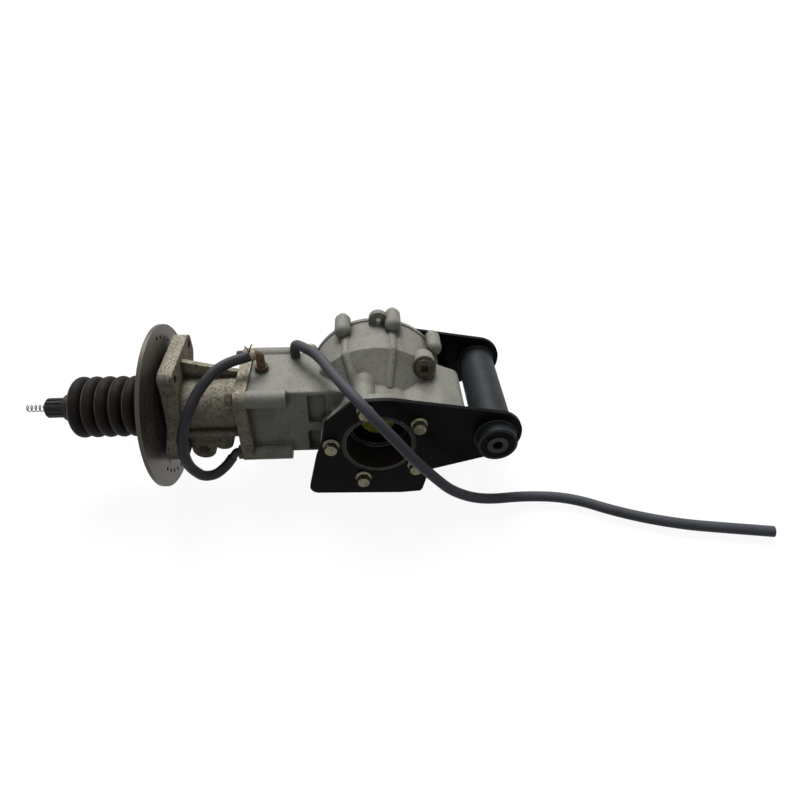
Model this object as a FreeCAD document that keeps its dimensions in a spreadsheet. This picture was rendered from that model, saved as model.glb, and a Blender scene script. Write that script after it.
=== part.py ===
import FreeCAD, Part
import math
import os
import re
import types

# Rear axle drive of a small vehicle. The input shaft turns about X and the axle hub about Y, and
# their axes cross at the origin. X points at the pivot tube, Y away from the near plate, Z up.

Vector = FreeCAD.Vector
RIGHT = Vector(1, 0, 0)
LEFT = Vector(-1, 0, 0)
FAR = Vector(0, 1, 0)
NEAR = Vector(0, -1, 0)
UP = Vector(0, 0, 1)
DOWN = Vector(0, 0, -1)

# Sizes

SIZES = {
    # Side plates, measured from the input axis to their outer faces
    "plate_near": 72.0,
    "plate_far": 62.0,
    "plate_thickness": 4.5,
    "plate_bolt_circle": 47.4,
    "plate_bolt_turn": -2.0,
    "plate_bolt_count": 5,
    # Pivot tube and its bushes
    "tube_across": 115.7,
    "tube_height": 9.0,
    "tube_radius": 19.8,
    "tube_wall": 2.8,
    "tube_overhang": 13.0,
    "bush_length": 40.0,
    "collar_radius": 10.3,
    "collar_bore": 5.1,
    "collar_overhang": 1.0,
    # Casing bowl, along the axle axis
    "neck_radius": 48.0,
    "ring_clearance": 5.5,
    "bowl_wall": 5.5,
    "bowl_shoulder": 5.0,
    "neck_end": 36.0,
    "cover_joint": 46.0,
    "near_flange_radius": 57.0,
    "near_flange_thickness": 7.5,
    "spigot_radius": 37.3,
    "spigot_length": 3.5,
    "mouth_radius": 33.0,
    "mouth_end": 38.0,
    # Casing snout, along the input axis
    "joint_plane": 130.0,
    "snout_half_width": 36.0,
    "snout_half_height": 41.0,
    "snout_end": 35.0,
    "joint_bolt_side": 38.0,
    "joint_bolt_height": 35.0,
    "joint_boss_radius": 9.0,
    "joint_boss_length": 39.0,
    # Cover
    "cover_thickness": 5.0,
    "cover_bolt_reach": 6.0,
    "cover_bolt_count": 9,
    "cover_bolt_start": 36.4,
    "cover_boss_radius": 8.5,
    "cover_boss_length": 24.0,
    "cover_pad_radius": 57.0,
    # Pinion housing
    "housing_radius": 31.0,
    "housing_flange": 12.0,
    "bracket_left": 216.0,
    "bracket_thickness": 15.0,
    "bracket_hole_radius": 4.25,
    "lug_hole_radius": 6.0,
    # Axle hub and ring gear
    "axle_journal": 20.0,
    "axle_bore": 14.5,
    "axle_tube": 24.0,
    "pilot_end": 14.0,
    "hub_spline_minor": 15.2,
    "hub_spline_major": 17.0,
    "cap_seat_radius": 16.0,
    "cap_seat_depth": 11.0,
    "hub_near_end": 31.0,
    "hub_far_end": 56.0,
    "hub_flange_radius": 56.0,
    "hub_flange_face": 29.0,
    "hub_flange_thickness": 5.0,
    "ring_bolt_circle": 48.0,
    "ring_bolt_count": 8,
    "ring_teeth": 37,
    "pinion_teeth": 11,
    "ring_pitch_radius": 60.0,
    "ring_rim": 1.0,
    "pinion_head": 14.0,
    "tooth_inner_share": 0.7,
    "tooth_backlash": 0.3,
    "ring_bore": 38.0,
    # Axle bearings and seals
    "axle_bearing_outer": 34.0,
    "axle_bearing_width": 14.0,
    "near_bearing_face": 15.0,
    "far_bearing_face": 36.0,
    "axle_seal_outer": 29.0,
    "axle_seal_width": 8.0,
    # Input shaft
    "shaft_journal": 12.5,
    "shaft_spline_radius": 10.5,
    "spline_left": 346.0,
    "spline_length": 19.5,
    "spline_count": 12,
    "spring_bore": 4.2,
    "inner_bearing_outer": 31.0,
    "inner_bearing_width": 17.0,
    "outer_bearing_face": 186.0,
    "outer_bearing_outer": 26.0,
    "outer_bearing_width": 15.0,
    "pinion_seal_outer": 21.0,
    "pinion_seal_width": 7.0,
    "roller_count": 9,
    # Brake disc and its hub
    "disc_right": 221.0,
    "disc_radius": 85.8,
    "disc_thickness": 4.0,
    "disc_bore": 23.0,
    "disc_bolt_circle": 31.0,
    "disc_bolt_count": 6,
    "hub_seat": 12.0,
    "disc_hub_radius": 22.0,
    "disc_hub_left": 247.0,
    # Boot
    "boot_peak": 32.3,
    "boot_valley": 25.8,
    "boot_pitch": 13.5,
    "boot_bulges": 5,
    "boot_right": 247.6,
    "boot_wall": 1.8,
    # Spring in the shaft end
    "spring_radius": 3.25,
    "spring_wire": 1.2,
    "spring_pitch": 4.2,
    "spring_left": 369.0,
    "spring_length": 42.0,
    # Hoses and fittings
    "hose_radius": 5.3,
    "pipe_radius": 4.4,
    "pipe_bore": 2.6,
    "elbow_across": 119.0,
    "elbow_depth": 5.0,
    "elbow_height": 61.0,
    "filler_radius": 9.4,
    # Fasteners
    "bolt_radius": 4.0,
    "bolt_head_flats": 12.0,
    "bolt_flange_radius": 8.5,
    "bolt_head_height": 8.0,
    "hole_clearance": 0.4,
    "running_gap": 0.08,
    "roller_gap": 0.2,
    "seat_gap": 0.3,
}

d = types.SimpleNamespace(**SIZES)

doc = FreeCAD.newDocument("RearAxle")
sheet = doc.addObject("Spreadsheet::Sheet", "Sizes")
for row, (alias, value) in enumerate(SIZES.items(), 1):
    sheet.set(f"A{row}", alias)
    sheet.set(f"B{row}", str(value))
    sheet.setAlias(f"B{row}", alias)
doc.recompute()


# Helpers for the document

def link(text):
    """The expression with each size's name pointed at its cell."""
    return re.sub(r"[a-z_]+", lambda word: f"Sizes.{word.group()}" if word.group() in SIZES else word.group(), text)


def bind(feature, **properties):
    for path, text in properties.items():
        feature.setExpression(path.replace("__", "."), link(text))
    return feature


def body(label):
    made = doc.addObject("PartDesign::Body", label)
    made.Label = label
    return made


def sketch(owner, role, edges, offset="0"):
    """A sketch on one of the body's origin planes, moved along that plane's normal."""
    made = owner.newObject("Sketcher::SketchObject", f"{owner.Name}Sketch")
    plane = next(f for f in owner.Origin.OriginFeatures if f.Role == role)
    made.AttachmentSupport = (plane, "")
    made.MapMode = "FlatFace"
    bind(made, AttachmentOffset__Base__z=offset)
    made.addGeometry(edges)
    return made


def pad(owner, role, edges, offset, length, backwards=False):
    profile = sketch(owner, role, edges, offset)
    made = owner.newObject("PartDesign::Pad", f"{owner.Name}Pad")
    made.Profile = profile
    made.Reversed = backwards
    return bind(made, Length=length)


def pocket(owner, role, edges, offset, length, backwards=False):
    profile = sketch(owner, role, edges, offset)
    made = owner.newObject("PartDesign::Pocket", f"{owner.Name}Pocket")
    made.Profile = profile
    made.Reversed = backwards
    return bind(made, Length=length)


def turned(owner, axis, points, cut=False):
    """A revolved profile of (along, radius) points about X or (radius, along) points about Y."""
    profile = sketch(owner, "XY_Plane", closed(points))
    kind = "PartDesign::Groove" if cut else "PartDesign::Revolution"
    made = owner.newObject(kind, f"{owner.Name}Turned")
    made.Profile = profile
    made.ReferenceAxis = (profile, ["H_Axis" if axis == "X" else "V_Axis"])
    made.Angle = 360
    return made


def add_cylinder(owner, kind, at, direction, radius, length):
    """A boss or a blind hole of the body along a slanted direction."""
    made = owner.newObject(f"PartDesign::{kind}Cylinder", f"{owner.Name}{kind}")
    made.MapMode = "Deactivated"
    made.Refine = False
    made.Radius = radius
    made.Height = length
    made.Placement = FreeCAD.Placement(at, FreeCAD.Rotation(UP, direction))
    return made


def add_sphere(owner, at, radius):
    """A rounded end or corner of the body."""
    made = owner.newObject("PartDesign::AdditiveSphere", f"{owner.Name}Ball")
    made.MapMode = "Deactivated"
    made.Refine = False
    made.Radius = radius
    made.Placement = FreeCAD.Placement(at, FreeCAD.Rotation())
    return made


def feature(label, shape):
    made = doc.addObject("Part::Feature", label)
    made.Label = label
    made.Shape = shape
    return made


def ring(label, axis, start, length, outer, inner):
    """A plain ring about the X or Y direction, with sizes bound to the sheet."""
    turn = FreeCAD.Rotation(UP, RIGHT if axis == "X" else FAR)
    cylinders = []
    for part_name, radius in (("Outside", outer), ("Inside", inner)):
        made = doc.addObject("Part::Cylinder", label + part_name)
        made.Placement = FreeCAD.Placement(Vector(0, 0, 0), turn)
        bind(made, Radius=radius, Height=length)
        bind(made, **{f"Placement__Base__{axis.lower()}": start})
        cylinders.append(made)
    made = doc.addObject("Part::Cut", label)
    made.Label = label
    made.Base = cylinders[0]
    made.Tool = cylinders[1]
    return made


# Helpers for outlines

def closed(points):
    corners = [Vector(x, y, 0) for x, y in points]
    return [Part.LineSegment(a, b) for a, b in zip(corners, corners[1:] + corners[:1])]


def rounded(points):
    """A closed outline of (x, y, corner radius) points as lines and tangent arcs."""
    corners = [Vector(x, y, 0) for x, y, _ in points]
    radii = [r for _, _, r in points]
    stops = []
    edges = []
    for i, corner in enumerate(corners):
        before = (corners[i - 1] - corner).normalize()
        after = (corners[(i + 1) % len(corners)] - corner).normalize()
        half = before.getAngle(after) / 2
        reach = radii[i] / math.tan(half)
        start = corner + before * reach
        end = corner + after * reach
        middle = corner + (before + after).normalize() * (radii[i] / math.sin(half) - radii[i])
        stops.append((start, end))
        edges.append(Part.Arc(start, middle, end))
    for (_, end), (start, _) in zip(stops, stops[1:] + stops[:1]):
        edges.append(Part.LineSegment(end, start))
    return edges


def circle(x, y, radius):
    return Part.Circle(Vector(x, y, 0), UP, radius)


def around(radius, count, start):
    """Points evenly spaced on a circle, from a start angle in degrees."""
    turns = [math.radians(start + 360 * k / count) for k in range(count)]
    return [(radius * math.cos(a), radius * math.sin(a)) for a in turns]


# Helpers for solids that are repeated or bent

def placed(shape, at, direction):
    copy = shape.copy()
    copy.Placement = FreeCAD.Placement(at, FreeCAD.Rotation(UP, direction))
    return copy


def cylinder(radius, length, at, direction=UP):
    return Part.makeCylinder(radius, length, at, direction)


def hexagon(flats, height):
    corner = flats / math.sqrt(3)
    points = [Vector(x, y, 0) for x, y in around(corner, 6, 0)]
    return Part.Face(Part.makePolygon(points + points[:1])).extrude(Vector(0, 0, height))


def flange_bolt(shank_length, radius=d.bolt_radius, flats=d.bolt_head_flats, flange=d.bolt_flange_radius,
                height=d.bolt_head_height):
    """A bolt seated on the plane z = 0 with its head above it."""
    flange_height = height / 5
    head = hexagon(flats, height - flange_height).common(
        Part.makeCone(flats * 0.62, flats * 0.49, height - flange_height))
    head.translate(Vector(0, 0, flange_height))
    washer = Part.makeCone(flange, flats * 0.56, flange_height)
    shank = cylinder(radius, shank_length, Vector(0, 0, -shank_length))
    return head.fuse([washer, shank]).removeSplitter()


def tube_along(points, radius, bore=0.0):
    """A round bar or pipe along straight runs joined by tangent arcs, with its length and radii."""
    edges = []
    radii = []
    start = points[0]
    for a, b, c in zip(points, points[1:], points[2:]):
        into = (b - a).normalize()
        out = (c - b).normalize()
        half_turn = into.getAngle(out) / 2
        reach = 0.45 * min((b - a).Length, (c - b).Length)
        bend = reach / math.tan(half_turn)
        radii.append(bend)
        first = b - into * reach
        last = b + out * reach
        middle = b + (out - into).normalize() * (bend / math.cos(half_turn) - bend)
        edges.append(Part.LineSegment(start, first).toShape())
        edges.append(Part.Arc(first, middle, last).toShape())
        start = last
    edges.append(Part.LineSegment(start, points[-1]).toShape())
    path = Part.Wire(edges)
    direction = points[1] - points[0]

    def swept(size):
        profile = Part.Wire(Part.Circle(points[0], direction, size).toShape())
        return path.makePipeShell([profile], True, False)

    solid = swept(radius)
    if bore:
        solid = solid.cut(swept(bore))
    return solid, path.Length, radii


# Side plates: one flat outline, cut in both plates

def plate_outline():
    return rounded([
        (-74.5, -65.5, 9), (45, -70, 9), (52, -36, 9), (142, -9.5, 26), (142, 34.5, 26),
        (8, 58, 60), (-25, 56, 7), (-53, 29, 9), (-57, 3, 20), (-63, -13, 20),
    ])


def side_plate(label, offset):
    plate = body(label)
    pad(plate, "XZ_Plane", plate_outline(), offset, "plate_thickness")
    holes = [circle(0, 0, d.spigot_radius + d.hole_clearance)]
    holes.append(circle(d.tube_across, d.tube_height, d.tube_radius))
    for x, z in around(d.plate_bolt_circle, d.plate_bolt_count, 36 + d.plate_bolt_turn):
        holes.append(circle(x, z, d.bolt_radius))
    pocket(plate, "XZ_Plane", holes, offset, "plate_thickness", backwards=True)


side_plate("near_plate", "plate_near - plate_thickness")
side_plate("far_plate", "-plate_far")

near_face = d.plate_near - d.plate_thickness
far_face = d.plate_far - d.plate_thickness
plate_bolts = around(d.plate_bolt_circle, d.plate_bolt_count, 36 + d.plate_bolt_turn)
plate_bolt = flange_bolt(22.0)
feature("near_plate_bolts", Part.makeCompound(
    [placed(plate_bolt, Vector(x, -d.plate_near, z), NEAR) for x, z in plate_bolts]))
far_plate_bolt = flange_bolt(10.0)
feature("far_plate_bolts", Part.makeCompound(
    [placed(far_plate_bolt, Vector(x, d.plate_far, z), FAR) for x, z in plate_bolts]))

# Pivot tube with a bonded rubber bush and a steel collar in each end


def pivot_ring(label, start, length, outer, inner):
    made = ring(label, "Y", start, length, outer, inner)
    for cylinder_feature in (made.Base, made.Tool):
        bind(cylinder_feature, Placement__Base__x="tube_across", Placement__Base__z="tube_height")
    return made


tube_start = "-plate_near - tube_overhang"
tube_end = "plate_far + tube_overhang"
pivot_ring("cross_tube", tube_start, "plate_near + plate_far + 2 * tube_overhang",
           "tube_radius", "tube_radius - tube_wall")
collar_length = "bush_length + 2 * collar_overhang"
bushes = {
    "near": (tube_start, f"{tube_start} - collar_overhang"),
    "far": (f"{tube_end} - bush_length", f"{tube_end} - bush_length - collar_overhang"),
}
for side, (rubber_start, collar_start) in bushes.items():
    pivot_ring(f"{side}_pivot_rubber", rubber_start, "bush_length",
               "tube_radius - tube_wall", "collar_radius + running_gap")
    pivot_ring(f"{side}_pivot_collar", collar_start, collar_length, "collar_radius", "collar_bore")

# Main casing: a bowl about the axle with a square snout towards the brake

bowl_inside = d.ring_pitch_radius + d.ring_rim + d.ring_clearance
bowl_radius = bowl_inside + d.bowl_wall
bowl_text = "(ring_pitch_radius + ring_rim + ring_clearance + bowl_wall)"
inner_bearing_face = d.ring_pitch_radius + d.pinion_head
inner_bearing_text = "(ring_pitch_radius + pinion_head)"
cover_bolts = around(bowl_radius + d.cover_bolt_reach, d.cover_bolt_count, d.cover_bolt_start)
joint_corners = [(y * d.joint_bolt_side, z * d.joint_bolt_height) for y in (-1, 1) for z in (-1, 1)]
seal_inner_face = d.near_bearing_face + d.axle_bearing_width
shoulder_outline = [(20, 40, 4), (62, 41, 12), (88, 30, 12), (88, -20, 14), (60, -40, 14), (20, -40, 4)]
eye_across = 3
eye_height = bowl_radius + 4
eye_hole_radius = 3.2
eye_thickness = "7"
eye_outline = [
    (eye_across - 10, eye_height - 16, 1), (eye_across + 10, eye_height - 16, 1),
    (eye_across + 10, eye_height + 10, 9.9), (eye_across - 10, eye_height + 10, 9.9),
]
drain_depth = 9
drain_face = f"-{bowl_text} - 2"
drain_radius = 5
filler_reach = bowl_radius - 1.2
filler_turn = math.radians(47.3)
filler_seat = Vector(filler_reach * math.cos(filler_turn), -13, filler_reach * math.sin(filler_turn))
filler_facing = Vector(0, -0.966, 0.259)
filler_stem = 6.5
spot_face_radius = d.filler_radius + 1.1
plate_boss_radius = 10.5
plate_boss_root = 11
plate_boss_length = f"plate_near - plate_thickness - neck_end + {plate_boss_root}"
joint_hole_depth = "18"
rib_radius = 4.5
rib_sink = 1.5
slope_top = Vector(bowl_radius, -d.bowl_shoulder, 0)
slope_foot = Vector(d.neck_radius, -d.neck_end, 0)
slope = slope_foot - slope_top

casing = body("main_casing")
turned(casing, "Y", [
    (0, -near_face - d.spigot_length), (d.spigot_radius, -near_face - d.spigot_length),
    (d.spigot_radius, -near_face), (d.near_flange_radius, -near_face),
    (d.near_flange_radius, -near_face + d.near_flange_thickness),
    (d.neck_radius, -near_face + d.near_flange_thickness + 4), (d.neck_radius, -d.neck_end),
    (bowl_radius, -d.bowl_shoulder), (bowl_radius, d.cover_joint), (0, d.cover_joint),
])
snout = rounded([
    (-d.snout_half_width, -d.snout_half_height, 6), (d.snout_half_width, -d.snout_half_height, 6),
    (d.snout_half_width, d.snout_half_height, 3), (-d.snout_half_width, d.snout_half_height, 3),
])
pad(casing, "YZ_Plane", snout, "-joint_plane", "joint_plane - snout_end")
pad(casing, "YZ_Plane", [circle(y, z, d.joint_boss_radius) for y, z in joint_corners],
    "-joint_plane", "joint_boss_length")
pad(casing, "XZ_Plane", [circle(x, z, d.cover_boss_radius) for x, z in cover_bolts],
    "-cover_joint", "cover_boss_length - cover_boss_radius")
for x, z in cover_bolts:
    tip = Vector(x, d.cover_joint - d.cover_boss_length + d.cover_boss_radius, z)
    add_sphere(casing, tip, d.cover_boss_radius)
    if abs(x) < 20 and z < 0:
        continue
    spoke = Vector(x, 0, z).normalize()
    rib_top = spoke * (slope_top.x - rib_sink) + FAR * slope_top.y
    rib_way = spoke * slope.x + FAR * slope.y
    add_cylinder(casing, "Additive", rib_top, rib_way, rib_radius, slope.Length)
    add_cylinder(casing, "Additive", rib_top, FAR, rib_radius, d.cover_joint + slope_top.y)
    add_sphere(casing, rib_top, rib_radius)
    add_sphere(casing, rib_top + rib_way, rib_radius)
pad(casing, "XZ_Plane", [circle(x, z, plate_boss_radius) for x, z in plate_bolts],
    f"neck_end - {plate_boss_root}", plate_boss_length)
pad(casing, "XZ_Plane", rounded(shoulder_outline), "-8", "68")
pad(casing, "XZ_Plane", rounded(eye_outline), "-cover_joint", eye_thickness)
drain = pad(casing, "XY_Plane", [circle(0, drain_depth, 12)], drain_face, "20")
add_cylinder(casing, "Additive", filler_seat, filler_facing * -1, spot_face_radius + 2, 22)
turned(casing, "Y", [
    (0, d.cover_joint), (bowl_inside, d.cover_joint), (bowl_inside, -2.4), (47, -27.5), (41, -27.5),
    (41, -d.near_bearing_face), (d.axle_bearing_outer, -d.near_bearing_face),
    (d.axle_bearing_outer, -seal_inner_face), (d.axle_seal_outer, -seal_inner_face),
    (d.axle_seal_outer, -d.mouth_end), (d.mouth_radius, -d.mouth_end),
    (d.mouth_radius, -near_face - d.spigot_length), (0, -near_face - d.spigot_length),
], cut=True)
pocket(casing, "YZ_Plane", [circle(0, 0, d.inner_bearing_outer)], "-joint_plane",
       f"joint_plane - {inner_bearing_text}", backwards=True)
pinion_room = 23.5
pinion_room_end = 41.5
pocket(casing, "YZ_Plane", [circle(0, 0, pinion_room)], f"-{inner_bearing_text}",
       f"{inner_bearing_text} - {pinion_room_end}", backwards=True)
pocket(casing, "YZ_Plane", [circle(y, z, d.bolt_radius) for y, z in joint_corners],
       "-joint_plane", joint_hole_depth, backwards=True)
pocket(casing, "XZ_Plane", [circle(x, z, d.bolt_radius) for x, z in cover_bolts],
       "-cover_joint", "14", backwards=True)
pocket(casing, "XZ_Plane", [circle(x, z, d.bolt_radius) for x, z in plate_bolts],
       "plate_near - plate_thickness", joint_hole_depth)
pocket(casing, "XZ_Plane", [circle(eye_across, eye_height, eye_hole_radius)], "-cover_joint", eye_thickness,
       backwards=True)
pocket(casing, "XZ_Plane", rounded([(-71, 1, 3), (-52, 1, 3), (-52, 37, 3), (-71, 37, 3)]),
       "snout_half_width", "6")
pocket(casing, "XZ_Plane", rounded([(-73, -38, 3), (-50, -38, 3), (-50, -9, 3), (-73, -9, 3)]),
       "snout_half_width", "9")
pocket(casing, "XY_Plane", [circle(0, drain_depth, drain_radius)], drain_face, "8", backwards=True)
add_cylinder(casing, "Subtractive", filler_seat, filler_facing * -1, filler_stem, 9)
add_cylinder(casing, "Subtractive", filler_seat, filler_facing, spot_face_radius, 12)

# Far cover with the far bearing seat

cover_inner = d.cover_joint
cover_outer = d.cover_joint + d.cover_thickness
far_bearing_end = d.far_bearing_face + d.axle_bearing_width
bearing_wall = d.axle_bearing_outer + 5.5
lip_width = 6.5
lip_length = 4
cover = body("far_cover")
turned(cover, "Y", [
    (d.axle_bearing_outer, d.far_bearing_face + 1), (bearing_wall, d.far_bearing_face + 1),
    (bearing_wall, cover_inner), (bowl_inside - lip_width, cover_inner),
    (bowl_inside - lip_width, cover_inner - lip_length), (bowl_inside - 0.1, cover_inner - lip_length),
    (bowl_inside - 0.1, cover_inner), (bowl_radius + 1, cover_inner), (bowl_radius + 1, cover_outer),
    (d.cover_pad_radius, cover_outer), (d.cover_pad_radius, far_face), (d.spigot_radius, far_face),
    (d.spigot_radius, far_face + d.spigot_length), (d.axle_seal_outer, far_face + d.spigot_length),
    (d.axle_seal_outer, far_bearing_end), (d.axle_bearing_outer, far_bearing_end),
])
pad(cover, "XZ_Plane", [circle(x, z, d.cover_boss_radius) for x, z in cover_bolts],
    "-cover_joint - cover_thickness", "cover_thickness")
pocket(cover, "XZ_Plane", [circle(x, z, d.bolt_radius) for x, z in cover_bolts],
       "-cover_joint - cover_thickness", "cover_thickness", backwards=True)
pocket(cover, "XZ_Plane", [circle(x, z, d.bolt_radius) for x, z in plate_bolts],
       "-plate_far + plate_thickness", "6", backwards=True)
cover_bolt = flange_bolt(d.cover_thickness + 12, height=6.2)
feature("cover_bolts", Part.makeCompound(
    [placed(cover_bolt, Vector(x, cover_outer, z), FAR) for x, z in cover_bolts]))

# Pinion housing: bearing neck, joint flange and brake bracket in one casting

bracket_right = d.bracket_left - d.bracket_thickness
flange_left = d.joint_plane + d.housing_flange
caliper_holes = [(-17, 46.5), (46, 46.5)]
pinion_seal_end = d.bracket_left - d.pinion_seal_width - 0.5
outer_bearing_end = d.outer_bearing_face + d.outer_bearing_width
housing = body("pinion_housing")
pad(housing, "YZ_Plane", rounded([
    (-27, 56.5, 9), (56, 56.5, 9), (56, 33, 9), (33, 6, 12), (33, -30, 14), (10, -40, 12), (-40, -42, 10),
    (-59, -22, 9), (-34, -4, 12), (-27, 34, 8),
]), "-bracket_left", "bracket_thickness")
pad(housing, "YZ_Plane", [circle(0, 0, d.housing_radius)], "-bracket_left + bracket_thickness",
    "bracket_left - bracket_thickness - joint_plane - housing_flange")
flange_half_width = d.joint_bolt_side + d.joint_boss_radius
flange_half_height = d.joint_bolt_height + d.joint_boss_radius
pad(housing, "YZ_Plane", rounded([
    (-flange_half_width, -flange_half_height, d.joint_boss_radius),
    (flange_half_width, -flange_half_height, d.joint_boss_radius),
    (flange_half_width, flange_half_height, d.joint_boss_radius),
    (-flange_half_width, flange_half_height, d.joint_boss_radius),
]), "-joint_plane - housing_flange", "housing_flange")
pad(housing, "YZ_Plane", [circle(0, 0, d.inner_bearing_outer - 0.1)], "-joint_plane", "6")
pad(housing, "XZ_Plane", closed([
    (-bracket_right, 15), (-flange_left, 15), (-flange_left, 35), (-bracket_right, 50),
]), "-14", "6")
pad(housing, "XY_Plane", closed([
    (-bracket_right, -37), (-flange_left, -37), (-flange_left, -20), (-bracket_right, -20),
]), "-14", "4")
pad(housing, "XZ_Plane", rounded([(-200, -20, 1), (-200, -55, 12), (-175, -55, 12), (-175, -20, 1)]), "9", "16")
pad(housing, "XZ_Plane", rounded([(-176, -15, 1), (-176, -43, 9.5), (-155, -43, 9.5), (-155, -15, 1)]), "5", "20")
turned(housing, "X", [
    (-d.bracket_left, 0), (-d.bracket_left, d.pinion_seal_outer), (-pinion_seal_end, d.pinion_seal_outer),
    (-pinion_seal_end, 17), (-outer_bearing_end, 17), (-outer_bearing_end, d.outer_bearing_outer),
    (-d.joint_plane + 6, d.outer_bearing_outer), (-d.joint_plane + 6, 0),
], cut=True)
pocket(housing, "YZ_Plane", [circle(y, z, d.bolt_radius) for y, z in joint_corners],
       "-joint_plane - housing_flange", "housing_flange", backwards=True)
pocket(housing, "YZ_Plane", [circle(y, z, d.bracket_hole_radius) for y, z in caliper_holes],
       "-bracket_left", "bracket_thickness", backwards=True)
pocket(housing, "XZ_Plane", [circle(-187.5, -43, d.lug_hole_radius)], "25", "16")
joint_bolt = flange_bolt(d.housing_flange + 16)
bolted_corners = [(y, z) for y, z in joint_corners if not (y < 0 and z < 0)]
feature("housing_bolts", Part.makeCompound(
    [placed(joint_bolt, Vector(-flange_left, y, z), LEFT) for y, z in bolted_corners]))

# Axle hub, ring gear and their bolts

hub_flange_back = d.hub_flange_face + d.hub_flange_thickness
cap_seat_end = d.hub_near_end - d.cap_seat_depth
hub = body("axle_hub")
turned(hub, "Y", [
    (d.hub_spline_minor, d.pilot_end), (d.axle_bore, d.pilot_end), (d.axle_bore, -cap_seat_end),
    (d.cap_seat_radius, -cap_seat_end), (d.cap_seat_radius, -d.hub_near_end), (d.axle_journal, -d.hub_near_end),
    (d.axle_journal, -d.near_bearing_face), (d.axle_tube, -d.near_bearing_face), (d.axle_tube, 24),
    (d.ring_bore, 24), (d.ring_bore, d.hub_flange_face), (d.hub_flange_radius, d.hub_flange_face),
    (d.hub_flange_radius, hub_flange_back), (d.axle_tube, hub_flange_back),
    (d.axle_tube, d.far_bearing_face), (d.axle_journal, d.far_bearing_face),
    (d.axle_journal, d.hub_far_end), (d.hub_spline_minor, d.hub_far_end),
])
ring_bolts = around(d.ring_bolt_circle, d.ring_bolt_count, 360 / d.ring_bolt_count / 2)
pocket(hub, "XZ_Plane", [circle(x, z, d.bolt_radius) for x, z in ring_bolts],
       "-hub_flange_face - hub_flange_thickness", "hub_flange_thickness", backwards=True)
slots = []
slot_width = 3.6
for out_x, out_z in around(1, d.spline_count, 0):
    out = Vector(out_x, out_z, 0)
    across = Vector(-out_z, out_x, 0) * slot_width / 2
    inner = out * (d.hub_spline_minor - 1)
    outer = out * d.hub_spline_major
    corners = [inner - across, outer - across, outer + across, inner + across]
    slots += [Part.LineSegment(p, q) for p, q in zip(corners, corners[1:] + corners[:1])]
pocket(hub, "XZ_Plane", slots, "-hub_far_end", "hub_far_end - pilot_end", backwards=True)
ring_bolt = flange_bolt(d.hub_flange_thickness + 8, flange=6.9, height=5.4)
feature("ring_gear_bolts", Part.makeCompound(
    [placed(ring_bolt, Vector(x, hub_flange_back, z), FAR) for x, z in ring_bolts]))
cap = body("bore_cap")
cap_lip = 1.5
cap_head = 2.5
cap_end = -cap_seat_end - 1
turned(cap, "Y", [
    (0, -d.hub_near_end - cap_head), (d.cap_seat_radius + cap_lip, -d.hub_near_end - cap_head),
    (d.cap_seat_radius + cap_lip, -d.hub_near_end), (d.cap_seat_radius, -d.hub_near_end),
    (d.cap_seat_radius, cap_end), (0, cap_end),
])

# Bevel teeth: each tooth tapers from its outer profile towards the crossing of the axes

module = 2 * d.ring_pitch_radius / d.ring_teeth
pinion_pitch_radius = d.ring_pitch_radius * d.pinion_teeth / d.ring_teeth
pressure_angle = math.radians(20)
profile_shift = 0.3
cone_distance = math.hypot(d.ring_pitch_radius, pinion_pitch_radius)


def bevel_tooth(profile, radius, along, axis, spoke):
    pitch_point = spoke * radius + axis * along
    outward = (spoke * along - axis * radius) / cone_distance
    side = axis.cross(spoke)
    outer = [pitch_point + side * t + outward * h for t, h in profile]
    inner = [p * d.tooth_inner_share for p in outer]
    wires = [Part.makePolygon(points + points[:1]) for points in (outer, inner)]
    return Part.makeLoft(wires, True, True)


def ring_profile():
    """Straight flanks, because so large a bevel gear is nearly a rack."""
    half = module * (math.pi / 4 - profile_shift * math.tan(pressure_angle)) - d.tooth_backlash / 4
    top = module * (1 - profile_shift)
    foot = -module * (1.5 + profile_shift)
    lean = math.tan(pressure_angle)
    return [(-half + foot * lean, foot), (-half + top * lean, top), (half - top * lean, top), (half - foot * lean, foot)]


def pinion_profile():
    """Involute flanks of the virtual spur gear, radial below its base circle."""
    pitch = pinion_pitch_radius * cone_distance / d.ring_pitch_radius
    base = pitch * math.cos(pressure_angle)
    top = pitch + module * (1 + profile_shift)
    foot = pitch - module * (1.45 - profile_shift)
    half_turn = (module * (math.pi / 4 + profile_shift * math.tan(pressure_angle)) - d.tooth_backlash / 4) / pitch
    half_turn += math.tan(pressure_angle) - pressure_angle
    flank = [(foot, half_turn)]
    for step in range(5):
        radius = base + (top - base) * step / 4
        tilt = math.acos(min(1, base / radius))
        flank.append((radius, half_turn - (math.tan(tilt) - tilt)))
    right = [(r * math.sin(a), r * math.cos(a) - pitch) for r, a in flank]
    return [(-t, h) for t, h in right] + right[::-1]


ring_teeth = []
for tooth in range(d.ring_teeth):
    a = 2 * math.pi * (tooth + 0.5) / d.ring_teeth
    spoke = Vector(-math.cos(a), 0, math.sin(a))
    ring_teeth.append(bevel_tooth(ring_profile(), d.ring_pitch_radius, pinion_pitch_radius, FAR, spoke))
ring_root = module * (1.25 + profile_shift) / cone_distance
root_radius = d.ring_pitch_radius - pinion_pitch_radius * ring_root
root_depth = pinion_pitch_radius + d.ring_pitch_radius * ring_root
ring_blank = body("ring_gear_blank")
root_start = d.tooth_inner_share - 0.012
turned(ring_blank, "Y", [
    (d.ring_bore, root_depth * root_start), (root_radius * root_start, root_depth * root_start),
    (root_radius * 1.015, root_depth * 1.015), (d.ring_pitch_radius + d.ring_rim, root_depth + 3),
    (d.ring_pitch_radius + d.ring_rim, d.hub_flange_face), (d.ring_bore, d.hub_flange_face),
])
pocket(ring_blank, "XZ_Plane", [circle(x, z, d.bolt_radius) for x, z in ring_bolts],
       "-hub_flange_face", "8", backwards=True)
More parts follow.
